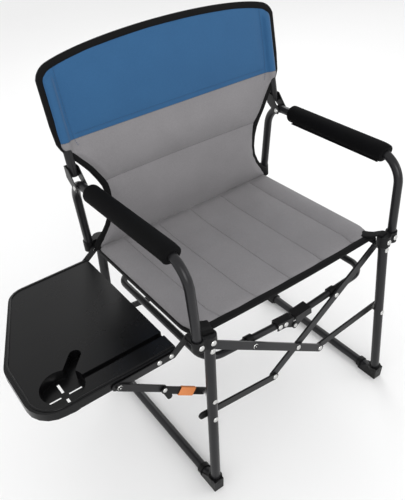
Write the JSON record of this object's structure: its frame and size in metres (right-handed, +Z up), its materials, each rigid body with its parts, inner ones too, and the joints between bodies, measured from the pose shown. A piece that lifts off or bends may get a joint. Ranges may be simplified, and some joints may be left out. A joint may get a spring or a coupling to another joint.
{
  "type": "folding camp chair with side table",
  "caption": "Folding director's camp chair with a padded grey and blue seat and back, foam arms, and a black drop-leaf side table with cup recess.",
  "frame": {"origin": "bottom centre of the whole chair's box, on the floor, with the side table up", "axes": "+Z up; the chair faces -Y; the side table hangs on the -X side, which is at the sitter's right hand"},
  "size_m": [0.875, 0.472, 0.904],
  "materials": {
    "frame_coat": "satin powder coat, fine texture",
    "rivet_steel": "bright plated steel",
    "black_steel": "satin black coat",
    "moulded_black": "moulded nylon, fine grain",
    "grip_foam": "closed-cell foam, matt",
    "table_plastic": "moulded polypropylene, satin",
    "orange_rubber": "soft moulded rubber",
    "grey_fabric": "padded woven polyester",
    "blue_fabric": "padded woven polyester"
  },
  "bodies": {
    "left_frame": {"left_leg_frame": "frame_coat", "left_arm_tube": "frame_coat", "left_arm_foam": "grip_foam", "left_front_shoe": "moulded_black", "left_front_bracket": "moulded_black", "left_front_bar_rivet": "rivet_steel", "left_front_link_rivet": "rivet_steel", "left_rear_shoe": "moulded_black", "left_rear_bracket": "moulded_black", "left_rear_bar_rivet": "rivet_steel", "left_rear_link_rivet": "rivet_steel", "back_rivet_left": "rivet_steel", "seat_pad": "grey_fabric", "back_pad_lower": "grey_fabric", "strut_leg_rivet": "rivet_steel"},
    "right_frame": {"right_leg_frame": "frame_coat", "right_arm_tube": "frame_coat", "right_arm_foam": "grip_foam", "right_front_shoe": "moulded_black", "right_front_bracket": "moulded_black", "right_front_bar_rivet": "rivet_steel", "right_front_link_rivet": "rivet_steel", "right_rear_shoe": "moulded_black", "right_rear_bracket": "moulded_black", "right_rear_bar_rivet": "rivet_steel", "right_rear_link_rivet": "rivet_steel", "back_rivet_right": "rivet_steel"},
    "scissor_a": {"front_scissor_bar_left": "frame_coat", "front_cross_rivet": "rivet_steel", "rear_scissor_bar_left": "frame_coat", "rear_cross_rivet": "rivet_steel"},
    "scissor_b": {"front_scissor_bar_right": "frame_coat", "rear_scissor_bar_right": "frame_coat"},
    "link_left": {"front_lower_link_left": "black_steel", "rear_lower_link_left": "black_steel"},
    "link_right": {"front_lower_link_right": "black_steel", "rear_lower_link_right": "black_steel"},
    "seat_half_left": {"seat_frame_left": "frame_coat", "seat_saddle_left_front": "moulded_black", "seat_hinge_leaf_left_front": "black_steel", "seat_saddle_left_rear": "moulded_black", "seat_hinge_leaf_left_rear": "black_steel", "seat_hinge_pin_front": "rivet_steel", "seat_hinge_pin_rear": "rivet_steel"},
    "seat_half_right": {"seat_frame_right": "frame_coat", "seat_saddle_right_front": "moulded_black", "seat_hinge_leaf_right_front": "black_steel", "seat_saddle_right_rear": "moulded_black", "seat_hinge_leaf_right_rear": "black_steel"},
    "back_left": {"back_tube_left": "frame_coat", "back_hinge_left": "black_steel", "back_pad_upper": "blue_fabric"},
    "back_right": {"back_tube_right": "frame_coat", "back_hinge_right": "black_steel"},
    "table": {"table_top": "table_plastic", "table_front_bar": "black_steel", "table_rear_bar": "black_steel"},
    "strut_upper": {"strut_upper_link": "black_steel"},
    "strut_lower": {"strut_lower_link": "moulded_black", "strut_grip": "orange_rubber"}
  },
  "joints": [
    {"name": "fold", "type": "hinge", "parent": "left_frame", "child": "scissor_a", "pos_m": [-0.10246, 0, 0.423], "axis": [0, 1, 0], "range_deg": [0, 40.5], "deforming": ["seat_pad", "back_pad_lower", "back_pad_upper"]},
    {"name": "bar_cross", "type": "hinge", "parent": "scissor_a", "child": "scissor_b", "pos_m": [0.13954, 0, 0.26], "axis": [0, 1, 0], "range_deg": [-81.5, 0]},
    {"name": "right_bar_pivot", "type": "hinge", "parent": "scissor_b", "child": "right_frame", "pos_m": [0.38154, 0, 0.423], "axis": [0, 1, 0], "range_deg": [0, 41]},
    {"name": "left_link_pivot", "type": "hinge", "parent": "left_frame", "child": "link_left", "pos_m": [-0.11175, 0, 0.233], "axis": [0, 1, 0], "range_deg": [0, 63.57]},
    {"name": "right_link_pivot", "type": "hinge", "parent": "right_frame", "child": "link_right", "pos_m": [0.39083, 0, 0.233], "axis": [0, 1, 0], "range_deg": [-63.57, 0]},
    {"name": "seat_saddle_pivot", "type": "hinge", "parent": "scissor_a", "child": "seat_half_left", "pos_m": [0.01854, 0, 0.3415], "axis": [0, 1, 0], "range_deg": [-122.53, 0]},
    {"name": "seat_hinge", "type": "hinge", "parent": "seat_half_left", "child": "seat_half_right", "pos_m": [0.13954, 0, 0.32], "axis": [0, 1, 0], "range_deg": [0, 163.57]},
    {"name": "back_fold", "type": "hinge", "parent": "left_frame", "child": "back_left", "pos_m": [-0.13946, 0.1635, 0.631], "axis": [1, 0, 0], "range_deg": [0, 72], "deforming": ["back_pad_lower", "back_pad_upper"]},
    {"name": "right_back_pivot", "type": "hinge", "parent": "right_frame", "child": "back_right", "pos_m": [0.41854, 0.1635, 0.631], "axis": [1, 0, 0], "range_deg": [0, 72.5], "deforming": ["back_pad_lower", "back_pad_upper"]},
    {"name": "table_fold", "type": "hinge", "parent": "left_frame", "child": "table", "pos_m": [-0.12646, 0, 0.442], "axis": [0, -1, 0], "range_deg": [0, 82]},
    {"name": "strut_top_pivot", "type": "hinge", "parent": "table", "child": "strut_upper", "pos_m": [-0.28146, 0, 0.416], "axis": [0, -1, 0], "range_deg": [0, 56.7]},
    {"name": "strut_leg_pivot", "type": "hinge", "parent": "left_frame", "child": "strut_lower", "pos_m": [-0.10916, 0, 0.286], "axis": [0, -1, 0], "range_deg": [-35.4, 0]}
  ],
  "couplings": [
    {"joint": "bar_cross", "follows": "fold", "ratio": -2},
    {"joint": "right_bar_pivot", "follows": "fold", "ratio": 1},
    {"joint": "left_link_pivot", "follows": "fold", "ratio": 1.5573},
    {"joint": "right_link_pivot", "follows": "fold", "ratio": -1.5573},
    {"joint": "seat_saddle_pivot", "follows": "fold", "ratio": -3.0132},
    {"joint": "seat_hinge", "follows": "fold", "ratio": 4.0264},
    {"joint": "right_back_pivot", "follows": "back_fold", "ratio": 1},
    {"joint": "strut_top_pivot", "follows": "table_fold", "ratio": 0.68537},
    {"joint": "strut_leg_pivot", "follows": "table_fold", "ratio": -0.42566}
  ]
}
